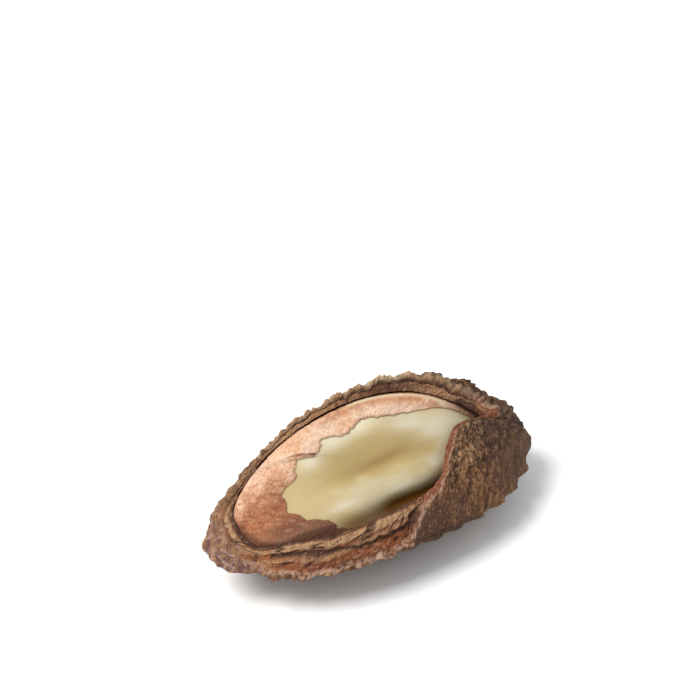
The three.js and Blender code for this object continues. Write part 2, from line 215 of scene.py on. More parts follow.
class Noise:
    """Smooth noise and cells, the same every time for the same seed."""

    SIZE = 256
    FARTHER_THAN_ANY = 9.0
    SMOOTH_GAIN, LAYERED_GAIN, LAYER_SHIFT = 1.6, 1.35, 17.3

    def __init__(self, seed):
        draws = np.random.default_rng(seed)
        self.order = draws.permutation(self.SIZE)
        slopes = draws.normal(size=(self.SIZE, 3))
        self.slopes = slopes / np.linalg.norm(slopes, axis=1, keepdims=True)
        self.places = draws.random((self.SIZE, 3))

    def pick(self, cell):
        turn = self.order[cell[:, X] % self.SIZE]
        turn = self.order[(turn + cell[:, Y]) % self.SIZE]
        return self.order[(turn + cell[:, Z]) % self.SIZE]

    def smooth(self, points):
        """About -1 to 1."""
        cell = np.floor(points).astype(int)
        inside = points - cell
        ease = inside ** 3 * (inside * (inside * 6 - 15) + 10)
        total = np.zeros(len(points))
        for corner in np.ndindex(2, 2, 2):
            slope = self.slopes[self.pick(cell + corner)]
            share = np.prod(np.where(corner, ease, 1 - ease), axis=1)
            total += share * np.sum(slope * (inside - corner), axis=1)
        return total * self.SMOOTH_GAIN

    def layered(self, points, layers=3):
        total, size = np.zeros(len(points)), 0
        for layer in range(layers):
            total += self.smooth(points * 2 ** layer + self.LAYER_SHIFT * layer) / 2 ** layer
            size += 1 / 2 ** layer
        return total / size * self.LAYERED_GAIN

    def cells(self, points):
        """Distance to the nearest cell's middle, and how much further the next one is."""
        cell = np.floor(points).astype(int)
        nearest = np.full(len(points), self.FARTHER_THAN_ANY)
        second = nearest.copy()
        for step in np.ndindex(3, 3, 3):
            there = cell + np.array(step) - 1
            away = np.linalg.norm(there + self.places[self.pick(there)] - points, axis=1)
            second = np.minimum(second, np.maximum(nearest, away))
            nearest = np.minimum(nearest, away)
        return nearest, second - nearest


def rows_of(*parts):
    return np.stack(parts, axis=1)


def stretched(points, sizes):
    """Points with one unit a cell of these sizes in mm."""
    return points / np.array(sizes)


# ---- The nut's surfaces.
def unit(vector):
    vector = np.asarray(vector, float)
    return vector / np.linalg.norm(vector)


for face in FACES:
    looks = math.radians(face["looks"])
    face["out"] = np.array([0, -math.cos(looks), math.sin(looks)])
    face["side"] = np.cross([1, 0, 0], face["out"])
OPENED = FACES[0]
CENTRE = np.array([-3.0, 0, 0])
POLE = unit([0, 0.245, -1])
SWEEP_X = unit(np.cross(np.cross(POLE, [1, 0, 0]), POLE))
SWEEP_Y = np.cross(POLE, SWEEP_X)


def face_terms(points, body):
    """How far out each point lies towards each face of a body: 1 on the face."""
    x = points[:, X]
    end = (x >= 0).astype(int)
    along = (np.abs(x) / np.take(body["half"], end)) ** np.take(body["power"], end)
    terms = []
    for face, depth in zip(FACES, body["depths"]):
        crowned = points @ face["out"] + face["crown"] * (points @ face["side"]) ** 2
        terms.append(crowned / (depth * (1 + face["taper"] * x / TAPER_LENGTH)) + along)
    return np.array(terms)


def gauge(points, body):
    """Below 1 inside a body, 1 on its surface and above 1 outside."""
    return np.sum(np.maximum(face_terms(points, body), 0) ** body["edge"], axis=0) ** (1 / body["edge"])


def reach(starts, directions, body):
    """How far it is from the starts to a body's surface."""
    near = np.zeros(len(directions))
    far = np.full(len(directions), float(FARTHEST))
    for _ in range(HALVINGS):
        middle = (near + far) / 2
        inside = gauge(starts + directions * middle[:, None], body) < 1
        near = np.where(inside, middle, near)
        far = np.where(inside, far, middle)
    return near


def on_body(directions, body):
    """Where directions from the loft's centre meet a body."""
    return CENTRE + directions * reach(CENTRE, directions, body)[:, None]


def turn_of(points):
    """Turn round the nut's long axis in degrees, 0 on the opened side and rising towards the far side."""
    return np.degrees(np.arctan2(-(points @ OPENED["side"]), points @ OPENED["out"]))


def spot(points, turn, place):
    """1 in the middle of a place, falling off all round it."""
    x, level, length, width = place
    return np.exp(-(((points[:, X] - x) / length) ** 2) - ((turn - level) / width) ** 2)


def squareness(points, directions, body):
    """Cosine of the angle at which directions meet a body's surface."""
    here = gauge(points, body)
    rises = np.stack([gauge(points + SMALL_STEP * axis, body) - here for axis in np.eye(3)], axis=1)
    rises /= np.linalg.norm(rises, axis=1, keepdims=True)
    return np.maximum(np.sum(rises * directions, axis=1), STEEPEST)


def sweep_direction(bearing, fall):
    """Bearing goes round the opening, and fall goes from straight up through it to the pole."""
    bearing, fall = np.ravel(bearing)[:, None], np.ravel(fall)[:, None]
    across = SWEEP_X * np.cos(bearing) + SWEEP_Y * np.sin(bearing)
    return -POLE * np.cos(fall) + across * np.sin(fall)


def ring_points(bearing):
    return rows_of(np.cos(bearing), np.sin(bearing), 0 * bearing)


class Outline:
    """A closed curve on a body, from rows of x and turn, as falls in the order of the bearings."""

    def __init__(self, rows, body):
        x, turn = np.array(rows, float).T
        starts = rows_of(x, 0 * x, 0 * x)
        turn = np.radians(turn)[:, None]
        directions = OPENED["out"] * np.cos(turn) - OPENED["side"] * np.sin(turn)
        corners = starts + directions * reach(starts, directions, body)[:, None]
        points = spaced(catmull_rom(corners), OUTLINE_SAMPLES)
        away = points - CENTRE
        away /= np.linalg.norm(away, axis=1, keepdims=True)
        bearing = np.arctan2(away @ SWEEP_Y, away @ SWEEP_X)
        order = np.argsort(bearing)
        self.bearing = bearing[order]
        self.fall = np.arccos(-(away @ POLE))[order]
        self.points = points[order]

    def fall_at(self, bearing):
        return np.interp(bearing, self.bearing, self.fall, period=WHOLE_TURN)

    def columns(self, count):
        """Bearings spaced evenly by length and bearing together, and the length of the outline at each."""
        steps = np.linalg.norm(np.roll(self.points, -1, axis=0) - self.points, axis=1)
        turned = np.mod(np.roll(self.bearing, -1) - self.bearing, WHOLE_TURN)
        sums = np.concatenate([[0], np.cumsum(steps + CAP_SPREAD * turned)])
        lengths = np.concatenate([[0], np.cumsum(steps)])
        bearings = np.append(self.bearing, self.bearing[0] + WHOLE_TURN)
        wanted = sums[-1] * (np.arange(count) + 0.5) / count
        return np.interp(wanted, sums, bearings), np.interp(wanted, sums, lengths)


def catmull_rom(corners):
    """A smooth closed curve through the corners."""
    before, after, next_after = (np.roll(corners, -shift, axis=0) for shift in (-1, 1, 2))
    t = (np.arange(CURVE_STEPS) / CURVE_STEPS)[:, None, None]
    rise, next_rise = (after - before) / 2, (next_after - corners) / 2
    curve = (
        (2 * t ** 3 - 3 * t ** 2 + 1) * corners
        + (t ** 3 - 2 * t ** 2 + t) * rise
        + (3 * t ** 2 - 2 * t ** 3) * after
        + (t ** 3 - t ** 2) * next_rise
    )
    return curve.transpose(1, 0, 2).reshape(-1, 3)


def spaced(points, count):
    """This many points, evenly spaced along a closed line."""
    closed = np.vstack([points, points[:1]])
    lengths = np.concatenate([[0], np.cumsum(np.linalg.norm(np.diff(closed, axis=0), axis=1))])
    wanted = np.arange(count) * lengths[-1] / count
    return np.stack([np.interp(wanted, lengths, closed[:, axis]) for axis in range(3)], axis=1)


def even_falls(bearing, start, end, parts, body):
    """For each column, falls from start to end at these parts of the way over a body, and the way in mm."""
    t = np.linspace(0, 1, COLUMN_SAMPLES + 1)
    falls = start[:, None] + (end - start)[:, None] * t
    directions = sweep_direction(np.repeat(bearing, len(t)), falls)
    points = (directions * reach(CENTRE, directions, body)[:, None]).reshape(len(bearing), -1, 3)
    steps = np.linalg.norm(np.diff(points, axis=1), axis=2)
    lengths = np.concatenate([np.zeros((len(bearing), 1)), np.cumsum(steps, axis=1)], axis=1)
    found = [np.interp(parts * length[-1], length, fall) for length, fall in zip(lengths, falls)]
    return np.array(found), lengths[:, -1:] * parts


# ---- The shell's relief.
bark_noise, wood_noise, edge_noise, kernel_noise = (Noise(seed) for seed in (11, 23, 37, 53))


def ridge_share(points):
    """How near a point is to a ridge between two faces, 1 on it."""
    ordered = np.sort(face_terms(points, SHELL), axis=0)
    return hump(ordered[2] - ordered[1], 0, KEEL_WIDTH)


def main_relief(points, ridge):
    """The ridges, ribs and waves of the part's own source, in mm."""
    turn = np.radians(turn_of(points))
    x = points[:, X]
    rib = np.sin(WHOLE_TURN * (x + RIB_SLANT * points[:, Z]) / RIB_PITCH)
    swell = np.sin(WHOLE_TURN * x / WAVE_LENGTH + WAVE_TWIST * turn)
    wave = WAVE_HEIGHT * swell * np.sin(WAVE_LOBES * turn + WAVE_DRIFT * x)
    return ridge * (KEEL_HEIGHT + RIB_HEIGHT * rib) + (1 - ridge) * wave - FACE_SINK


# The bark's furrows run down the broken face and a little towards the -X end.
FURROWS_RUN = unit([-0.6, -0.7, -0.7])
OVER_FURROWS = unit(np.cross([0, -1, 1], FURROWS_RUN))
BARK_GRAIN = rows_of(OVER_FURROWS, np.cross(FURROWS_RUN, OVER_FURROWS), FURROWS_RUN)


def bark_zones(points, turn):
    """How cracked and flaky the bark is, and how smooth and purple it is, at each point (0 to 1)."""
    ragged = turn + FLAKY_WANDER * bark_noise.smooth(points / FLAKY_CELL + 14)
    flaky = ramp(ragged, *FLAKY_TURN) * (1 - 0.6 * ramp(turn, *BACK_TURN))
    return flaky, window(points[:, X], *SMOOTH_X) * ramp(-turn, *SMOOTH_TURN)


def bark_texture(points, flaky, smooth):
    """Relief of the corky bark, in mm."""
    warp = rows_of(*(bark_noise.smooth(points / WANDER_CELL + shift) for shift in (0, 31, 67)))
    grain = (points + BARK_WANDER * warp) @ BARK_GRAIN
    furrows = 1 - np.abs(bark_noise.smooth(stretched(grain, FURROWS["cell"]))) * FURROWS["sharp"]
    _, rise = bark_noise.cells(stretched(grain, FLAKES["cell"]))
    flakes = np.minimum(rise * FLAKES["rise"], 1) - FLAKES["sink"]
    lumps = bark_noise.layered(points / BARK_LUMPS["cell"] + 40)
    texture = (1 - 0.5 * flaky) * FURROWS["height"] * furrows + FLAKES["height"] * flaky * flakes
    return (1 - 0.6 * smooth) * (texture + BARK_LUMPS["height"] * lumps) - BARK_SINK


def worn_back(x, turn):
    """How far back the inner layer is rubbed away along the middle of the far side and under the cap, in mm."""
    far = FAR_WEAR["depth"] * ramp(turn, *FAR_WEAR["turn"]) * window(x, *FAR_WEAR["x"])
    return far + CAP_WEAR["depth"] * ramp(x, *CAP_WEAR["x"]) * window(turn, *CAP_WEAR["turn"])


def scallops(along, way):
    """The scallops of the cord: 0 between two of them and 1 on top of one."""
    wander = edge_noise.smooth(rows_of(along / SCALLOPS["wander_length"], 0 * along, 0 * along))
    beat = along / SCALLOPS["length"] + SCALLOPS["wander"] * wander
    return np.abs(np.sin(math.pi * (beat - SCALLOPS["slant"] * way)))


def tip_relief(points, turn, ridge, tip):
    """Fins where the ridges run together at the -X end, and the small stub between them, in mm."""
    x = points[:, X]
    high = window(turn, *FINS["turn"])
    ragged = bark_noise.layered(stretched(points, FINS["rag_cell"]) + 3, 2)
    fins = FINS["height"] * high * ridge * (1 + bark_noise.smooth(points / FINS["cell"]))
    fins = tip * (fins + FINS["rag_height"] * ragged - FINS["sink"] * (1 - high))
    corner = ramp(turn, *FINS["corner_turn"]) * ramp(-x, *FINS["corner_start"])
    fins += FINS["rise"] * high * (ramp(-x, *FINS["rise_start"]) + corner)
    stub = tip * fading(np.hypot(points[:, Y], points[:, Z]), *STUB["radius"])
    return fins * (1 - stub) + (ramp(points[:, Z], *STUB["tilt"]) - 0.5) * stub


def break_rows(across, rim_x, rim_turn, rim_lip, tear):
    """Depth of the break at each column and ring, and each column's share of the far and the broad kind."""
    crossed, lip_rows, slope_rows = np.array(EDGE_ROWS).T
    # Towards the cap the lip broadens, and its groove moves out.
    moved = across ** (1 - LIP_BROADENING * ramp(rim_x, *LIP_BROADENS))[:, None]
    lip_depth, slope_depth = np.interp(moved, crossed, lip_rows), np.interp(across, crossed, slope_rows)
    depth = slope_depth + (lip_depth - slope_depth) * rim_lip[:, None]
    rim_far = ramp(rim_turn, *FAR_TURN) * ramp(rim_x, *FAR_START)
    rim_broad = ramp(rim_x + 2 * tear, *BROAD_START)
    both = (np.array(rows).T for rows in (FAR_EDGE_ROWS, BROAD_EDGE_ROWS))
    cord_depth, broad_depth = (np.interp(across, *rows) for rows in both)
    far_depth = cord_depth + (broad_depth - cord_depth) * rim_broad[:, None]
    return depth + (far_depth - depth) * rim_far[:, None], rim_far, rim_broad


def break_fibres(points, along, way, texture, lip):
    """The break's fibres, its finer fibres, and the crevices that slant across it."""
    straight, askew = FIBRE_SLANT
    slant = rows_of(along * straight - way * askew, along * askew + way * straight, 0 * way)
    stirred = slant + FIBRES["stir"] * texture[:, None]
    fibres = 1 - 2 * np.abs(wood_noise.smooth(stretched(stirred, FIBRES["cell"])))
    fine_fibres = wood_noise.layered(stretched(slant, FINE_FIBRES["cell"]) + 8)
    crack = wood_noise.layered(stretched(slant, CREVICES["cell"]) + 21, 2)
    crevice = ramp(wood_noise.smooth(points / CREVICES["patch"] + 60), -0.25, 0.3)
    crevice = crevice * hump(crack, 0, CREVICES["width"])
    return fibres, fine_fibres, crevice * (1 - (1 - CREVICES["on_slope"]) * (1 - lip))


def shell_grid():
    """The shell as a grid of columns and rings, with what its looks need at every point."""
    rim, bark = Outline(RIM, SHELL), Outline(BARK_EDGE, SHELL)
    bearing, rim_along = rim.columns(SHELL_COLUMNS)
    rim_fall, bark_fall = rim.fall_at(bearing), bark.fall_at(bearing)
    outlines = (sweep_direction(bearing, fall) for fall in (rim_fall, bark_fall))
    rim_points, edge_points = (on_body(directions, SHELL) for directions in outlines)
    rim_x, rim_turn = rim_points[:, X], turn_of(rim_points)
    edge_reach = np.linalg.norm(edge_points - CENTRE, axis=1)
    width = np.linalg.norm(rim_points - edge_points, axis=1)
    rim_lip = 1 - ramp(rim_x, *CAP_START) * fading(rim_turn, *CAP_TURN)
    # The outlines are ragged: long tears and short crumbs.
    ring = ring_points(bearing)
    tear = edge_noise.layered(ring * TEARS[1])
    ragged = TEARS[0] * tear + CRUMBS[0] * edge_noise.smooth(ring * CRUMBS[1] + 5)
    bark_fall = bark_fall + ragged * (CAP_TEARS + (1 - CAP_TEARS) * rim_lip) / edge_reach
    rim_tear = RIM_TEARS[0] * edge_noise.layered(ring * RIM_TEARS[1] + 30)
    rim_fall = rim_fall + (rim_tear + worn_back(rim_x, rim_turn)) / edge_reach

    pole = np.full(SHELL_COLUMNS, math.pi)
    bark_parts = (np.arange(BARK_RINGS, 0, -1) - 1) / BARK_RINGS
    bark_falls, bark_way = even_falls(bearing, bark_fall, pole, bark_parts ** BARK_CROWDING, SHELL)
    across = np.arange(1, EDGE_RINGS + 1) / EDGE_RINGS
    edge_falls = bark_fall[:, None] + (rim_fall - bark_fall)[:, None] * across
    hollow_fall, hollow_parts = rim_fall + UNDERCUT * (1 - rim_lip), np.arange(HOLLOW_RINGS) / HOLLOW_RINGS
    hollow_falls, hollow_way = even_falls(bearing, hollow_fall, pole, hollow_parts, CAVITY)
    edge_depth, rim_far, rim_broad = break_rows(across, rim_x, rim_turn, rim_lip, tear)

    falls = np.hstack([bark_falls, edge_falls, hollow_falls])
    depth = np.hstack([0 * bark_falls, edge_depth, 1 + 0 * hollow_falls]).ravel()
    # The way from the bark's edge, in mm: negative on the bark, positive over the break and inside.
    way = np.hstack([-bark_way, width[:, None] * across, width[:, None] + hollow_way]).ravel()
    # The part of the way over the break: 0 to 1 there, below 0 on the bark, and above 1 inside.
    place = np.hstack([0 * bark_falls - 1, 0 * edge_falls + across, 0 * hollow_falls + 2]).ravel()
    on_bark, inside = place < 0, place > 1
    on_edge = ~on_bark & ~inside

    def columns(values):
        return np.repeat(values, falls.shape[1])

    along, lip, far_side, broad = columns(rim_along), columns(rim_lip), columns(rim_far), columns(rim_broad)
    directions = sweep_direction(columns(bearing), falls)
    outer = reach(CENTRE, directions, SHELL)
    points = CENTRE + directions * outer[:, None]
    x, turn, ridge = points[:, X], turn_of(points), ridge_share(points)

    # The bark, with a groove along the foot of the near face and a scalloped cord along the far edge.
    flaky, smooth = bark_zones(points, turn)
    foot = hump(turn + FOOT_GROOVE["slant"] * x, *FOOT_GROOVE["turn"]) * window(x, *FOOT_GROOVE["x"])
    texture = bark_texture(points, flaky, smooth) - FOOT_GROOVE["depth"] * foot
    plain = ramp(points[:, Z] + AXIS_HEIGHT, *PLAIN_FROM)
    scallop = scallops(along, way)
    roll = np.sqrt(np.clip(1 - ((way - CORD["middle"]) / CORD["radius"]) ** 2, 0, 1))
    cord = far_side * roll * (CORD["height"] * scallop - CORD["sink"])
    cord = cord * (1 - CORD["lowers"] * ramp(x, *CORD["x"]))
    tip = ramp(-x, *TIP_START)
    fins = tip_relief(points, turn, ridge, tip) * np.where(on_bark, 1, np.clip(1 - place, 0, 1))
    relief = plain * (main_relief(points, ridge) + texture + cord + fins)
    bark_reach = outer + relief / squareness(points, directions, SHELL)
    down = directions[:, Z] < 0
    floor_reach = AXIS_HEIGHT / np.where(down, -directions[:, Z], 1)
    bark_reach = np.where(down, np.minimum(bark_reach, floor_reach), bark_reach)
    hollow_reach = np.minimum(reach(CENTRE, directions, CAVITY), bark_reach - THINNEST)

    # The break: fibres along it, slanting crevices, and thin layers.
    fibres, fine_fibres, crevice = break_fibres(points, along, way, texture, lip)
    near_lip, lip_side = lip * fading(columns(rim_turn), *NEAR_SIDE_ENDS), lip * (1 - far_side)
    drift = wood_noise.smooth(stretched(rows_of(along, way, 0 * way), DRIFT_CELL) + 44)
    from_rim = columns(width) - way + LAYER_DRIFT * drift
    broader = ramp(x, *LIP_BROADENS)
    slot_width = SLOT["width"] + SLOT["widens"] * hump(x, *SLOT_WIDEST)
    slot = hump(from_rim, SLOT["from_rim"] + SLOT["moves"] * broader, slot_width)
    slot = slot * near_lip * ramp(x, *SLOT["x"])
    second_from_rim = SECOND_LAYER["from_rim"] + SECOND_LAYER["moves"] * broader
    second = hump(from_rim, second_from_rim, SECOND_LAYER["width"]) * near_lip
    first = window(from_rim, *FIRST_LAYER) * lip_side
    brink = fading(from_rim, *BRINK) * lip_side
    breakage = FIBRES["height"] * fibres + FINE_FIBRES["height"] * fine_fibres
    breakage -= CREVICES["depth"] * crevice * (CREVICES["least"] + (1 - CREVICES["least"]) * near_lip)
    breakage += BREAK_LUMPS["height"] * wood_noise.layered(points / BREAK_LUMPS["cell"])
    breakage *= np.clip(np.sin(math.pi * np.clip(place, 0, 1)), 0, 1) ** 0.5
    breakage += SECOND_LAYER["height"] * second - SLOT["depth"] * slot
    depth = depth - on_edge * breakage / np.maximum(bark_reach - hollow_reach, THIN_BREAK)
    depth = np.clip(depth, 0, 1)
    made = CENTRE + directions * (bark_reach + (hollow_reach - bark_reach) * depth)[:, None]

    # What the looks need.
    cord_look = far_side * fading(depth, 0.36, 0.5) * ramp(way, -0.75, -0.5) * ~inside
    cord_look = cord_look * fading(place + 0.4 * broad, 0.5, 0.62)
    # The cord's pale colour is strongest on the scallops' tops and weaker between them: painted highlight and
    # shade on the scallops.
    cord_dimples = (0.3 + 0.7 * scallop) * (1 - 0.7 * ramp(way, 0.05, 0.4))
    worn_cord = (1 - 0.6 * ramp(-x, 13, 16)) * (1 - 0.6 * ramp(x, 5, 9))
    layer = on_edge * far_side * ramp(place + 0.2 * broad, 0.66, 0.76)
    shown = (1 - 0.9 * hump(x, 4, 4.5)) * (1 - 0.6 * ramp(-x, 12, 16))
    # Painted shade: the groove colour darkens the deep part of the break, the sunk slot and the lip's inner
    # brink.
    groove = ramp(depth, 0.6, 0.9) * lip_side * (0.9 - 0.6 * ramp(x, -11, -7))
    # At the -X end bark clings to the outer part of the break.
    bark_flap = on_edge * ramp(-x, 19.6, 20.8) * fading(place, 0.35, 0.6) * ramp(turn, -40, -10)
    # The corner where the broad lip runs out under the cap's edge, painted dark as the shade there.
    nook_shade = on_edge * hump(x, -0.6, 2) * ramp(-turn, 20, 30) * fading(place, 0.35, 0.7)
    fringe = hump(way, 0, 0.07 + 0.2 * lip) * (1 - far_side) * (1 - 0.9 * nook_shade)
    # pit: highest where the bark's relief is low and between the break's fibres, and used as painted shade in
    # these hollows
    bark_pit, edge_pit = np.clip(0.45 - 1.6 * texture, 0, 1), np.clip(0.35 - fibres * 0.3, 0, 1)
    looks = {
        "pit": np.where(on_bark, bark_pit, np.where(on_edge, edge_pit, 0.4)),
        "flaky": on_bark * flaky,
        "smooth": on_bark * smooth,
        # A painted highlight on the cap's bark beside its slope, brightest on the creases.
        "painted_cap_highlight": on_bark * (1 - lip) * hump(way, -2, 2.2) * ramp(turn, -18, -4),
        "wood": ~on_bark * (1 - np.maximum(cord_look, bark_flap)),
        "hollow": inside * 1.0,
        "crevice": on_edge * np.clip(crevice, 0, 1),
        "groove": on_edge * np.clip(groove + slot + brink, 0, 1),
        # The far side of the break, behind the cord, painted dark as the shade in the crevice there.
        "far": on_edge * far_side * (1 - layer * shown),
        "slope": on_edge * (1 - lip),
        "nook_shade": nook_shade,
        # Painted shade over the bark towards the +X end.
        "painted_right_end_shade": on_bark * ramp(x, 10, 16) * fading(turn, 40, 70),
        "fringe": fringe * (1 - 0.7 * ramp(-x, 18, 21)),
        "cord": cord_look * cord_dimples * worn_cord,
        "lip": on_edge * np.clip(first + 0.6 * second + layer * (0.75 + 0.4 * fine_fibres) * shown, 0, 1),
        "end": np.maximum(on_bark * tip, bark_flap),
        "fibre": on_edge * fine_fibres,
    }
    to_pole = POLE[None, :]
    ends = [CENTRE + to_pole * AXIS_HEIGHT / -POLE[Z], on_body(to_pole, CAVITY)]
    return made.reshape(*falls.shape, 3), ends, looks


# ---- The kernel and its skin.
# The skin's fibres run across the nut and a little along it.
SKIN_GRAIN = np.array([[0.8, 0.6, 0], [-0.6, 0.8, 0], [0, 0, 1]])


def kernel_reach(directions, proud=0):
    """The kernel's reach each way with this much laid over it, in mm, and the points and turns of its body."""
    out = reach(CENTRE, directions, KERNEL)
    points = CENTRE + directions * out[:, None]
    turn = turn_of(points)
    swell = np.sin(WHOLE_TURN * points[:, X] / SWELL_LENGTH + SWELL_TWIST * np.radians(turn)) - 1
    relief = SWELL_HEIGHT * swell + proud
    for form in KERNEL_FORMS.values():
        relief = relief + form["height"] * spot(points, turn, form["place"])
    return out + relief / squareness(points, directions, KERNEL), points, turn


def kernel_end(pole, proud=0):
    out, _, _ = kernel_reach(pole[None, :], proud)
    return CENTRE + pole[None, :] * out[:, None]


def kernel_grid():
    """The kernel as a grid: rings over its bare flesh, and rings under the skin."""
    edge = Outline(SKIN_EDGE, KERNEL)
    bearing, _ = edge.columns(KERNEL_COLUMNS)
    edge_fall = edge.fall_at(bearing)
    bare = edge_fall[:, None] * np.arange(1, WINDOW_RINGS + 1) / WINDOW_RINGS
    parts = np.arange(1, COVERED_RINGS) / COVERED_RINGS
    covered, _ = even_falls(bearing, edge_fall, np.full(KERNEL_COLUMNS, math.pi), parts, KERNEL)
    falls = np.hstack([bare, covered])[:, ::-1]
    directions = sweep_direction(np.repeat(bearing, falls.shape[1]), falls)
    out, points, turn = kernel_reach(directions)
    lumps = kernel_noise.layered(stretched(points, FLESH_LUMPS["cell"]))
    ripples = kernel_noise.smooth(stretched(points + 5, FLESH_RIPPLES["cell"]))
    out = out + FLESH_LUMPS["height"] * lumps + FLESH_RIPPLES["height"] * ripples
    made = CENTRE + directions * out[:, None]
    x = points[:, X]
    looks = {
        "lump": lumps,
        "ochre": spot(points, turn, OCHRE),
        "upper": window(turn, 4, 20, 42, 50) * window(x, -13, -6, 5, 9),
        "cream": sum(spot(points, turn, place) for place in CREAM),
        "shade": ramp(-turn, 9, 27) * ramp(x, -12, -8) * (0.65 + 0.35 * ramp(x, -5, 2)),
    }
    return made.reshape(*falls.shape, 3), [kernel_end(POLE), kernel_end(-POLE)], looks


def skin_grid():
    """The skin as a grid: its outside from the pole to the torn edge, and back along its inside."""
    edge = Outline(SKIN_EDGE, KERNEL)
    bearing, _ = edge.columns(SKIN_COLUMNS)
    ring = ring_points(bearing)
    torn = SKIN_TEARS[0] * kernel_noise.layered(ring * SKIN_TEARS[1])
    edge_fall = edge.fall_at(bearing) + torn + SKIN_CRUMBS[0] * kernel_noise.smooth(ring * SKIN_CRUMBS[1])
    pole = np.full(SKIN_COLUMNS, math.pi)
    parts, inside_parts = (np.arange(rings) / rings for rings in (SKIN_RINGS, SKIN_INSIDE_RINGS))
    outside, way = even_falls(bearing, edge_fall, pole, parts ** SKIN_CROWDING, KERNEL)
    inside, inside_way = even_falls(bearing, edge_fall, pole, inside_parts, KERNEL)
    falls = np.hstack([outside[:, ::-1], inside])
    way = np.hstack([way[:, ::-1], inside_way]).ravel()
    is_outside = np.hstack([np.ones_like(outside), np.zeros_like(inside)]).ravel()
    directions = sweep_direction(np.repeat(bearing, falls.shape[1]), falls)
    out, points, turn = kernel_reach(directions)
    x = points[:, X]
    veins = 1 - 2 * np.abs(kernel_noise.smooth(stretched(points + 12, VEINS["cell"])))
    wrinkle = kernel_noise.layered(stretched(points @ SKIN_GRAIN + 50, WRINKLES["cell"]))
    rim_fall = np.repeat(Outline(RIM, SHELL).fall_at(bearing), falls.shape[1])
    from_rim = (rim_fall - falls.ravel()) * out / squareness(points, directions, KERNEL) + worn_back(x, turn)
    # Along the far rim and round the -X end the skin swells up towards the shell.
    far = ramp(turn, *SWELLING["turn"])
    room = reach(CENTRE, directions, CAVITY) - out - SKIN_GAP - SKIN_THICKNESS
    swelling = SWELLING["share"] * room * np.maximum(far, ramp(-x, *SWELLING["x"]))
    swelling = swelling * hump(from_rim, *SWELLING["from_rim"])
    relief = VEINS["height"] * veins + WRINKLES["height"] * (wrinkle - 1) + swelling
    thin = SKIN_THINS["least"] + (1 - SKIN_THINS["least"]) * ramp(way, *SKIN_THINS["way"])
    height = SKIN_GAP + is_outside * (SKIN_THICKNESS * thin + relief * ramp(way, 0, 1.2))
    made = CENTRE + directions * (out + height)[:, None]
    # Painted shadow of the shell's rim on the skin, with a brown stain, darkest close to the rim.
    rim_shadow_and_stain = fading(from_rim - 0.5 * ramp(x, -15.5, -13), 0.35, 0.85)
    looks = {
        "vein": veins,
        "wrinkle": wrinkle,
        "peel": hump(way, 0, 0.22),
        # The skin turns from pink on the far side to orange-brown on the near side: partly its own colours,
        # partly painted highlight on the far side and painted shade on the near side.
        "near": ramp(-turn - 4 * (x + 16), -80, -15),
        "umber": ramp(x, -20.5, -15.5) * ramp(-turn, -14, 4),
        "orange": spot(points, turn, ORANGE),
        "grey": spot(points, turn, GREY),
        # The skin's smooth brown zone by the near lip: partly its own colour, partly painted shade.
        "smooth": ramp(x, -14.6, -13) * ramp(-turn, 5, 13),
        "rim_shadow_and_stain": rim_shadow_and_stain * fading(turn, 20, 50),
        # A pale line along the far rim, coloured as bare flesh: partly the flesh showing, partly a painted
        # highlight on the kernel's rounded top.
        "bare": far * hump(from_rim, 0.3, 0.22) * window(x, -4, -1, 8, 11),
        "rust": far * fading(from_rim, 0.9, 2) * ramp(x, -10, -3) * (1 - 0.7 * ramp(x, 7, 11)),
    }
    ends = [kernel_end(POLE, proud) for proud in (SKIN_GAP + SKIN_THICKNESS, SKIN_GAP)]
    return made.reshape(*falls.shape, 3), ends, looks


# ---- Meshes.
def linked(name, data):
    made = bpy.data.objects.new(name, data)
    bpy.context.scene.collection.objects.link(made)
    return made


def closed_piece(name, grid, ends, looks):
    """A closed mesh from a grid of columns and rings with a point at each end, and its looks as attributes."""
    columns, rings = grid.shape[:2]
    points = np.vstack([grid.reshape(-1, 3), ends[0], ends[1]])
    points = (points - BOX_CENTRE + [0, 0, AXIS_HEIGHT]) * MM
    index = np.arange(columns * rings).reshape(columns, rings)
    beside = np.roll(index, -1, axis=0)
    quads = np.stack([beside[:, :-1], index[:, :-1], index[:, 1:], beside[:, 1:]], axis=-1).reshape(-1, 4)
    first, last = columns * rings, columns * rings + 1
    fans = [(first, a, b) for a, b in zip(index[:, 0], beside[:, 0])]
    fans += [(b, a, last) for a, b in zip(index[:, -1], beside[:, -1])]
    mesh = bpy.data.meshes.new(name)
    mesh.from_pydata(points, [], quads.tolist() + fans)
    mesh.polygons.foreach_set("use_smooth", np.ones(len(mesh.polygons), bool))
    for look, values in looks.items():
        values = values.reshape(columns, rings)
        edge_values = (values[:, 0].mean(), values[:, -1].mean())
        attribute = mesh.attributes.new(look, "FLOAT", "POINT")
        attribute.data.foreach_set("value", np.append(values.ravel(), edge_values).astype(np.float32))
    mesh.update()
    return linked(name, mesh)


# ---- Materials. The light is strong enough to bring the floor to white, so the nut's colours are held back.
NUT_TONE, SKIN_TONE = 0.7, 0.8
SHEEN = 0.28

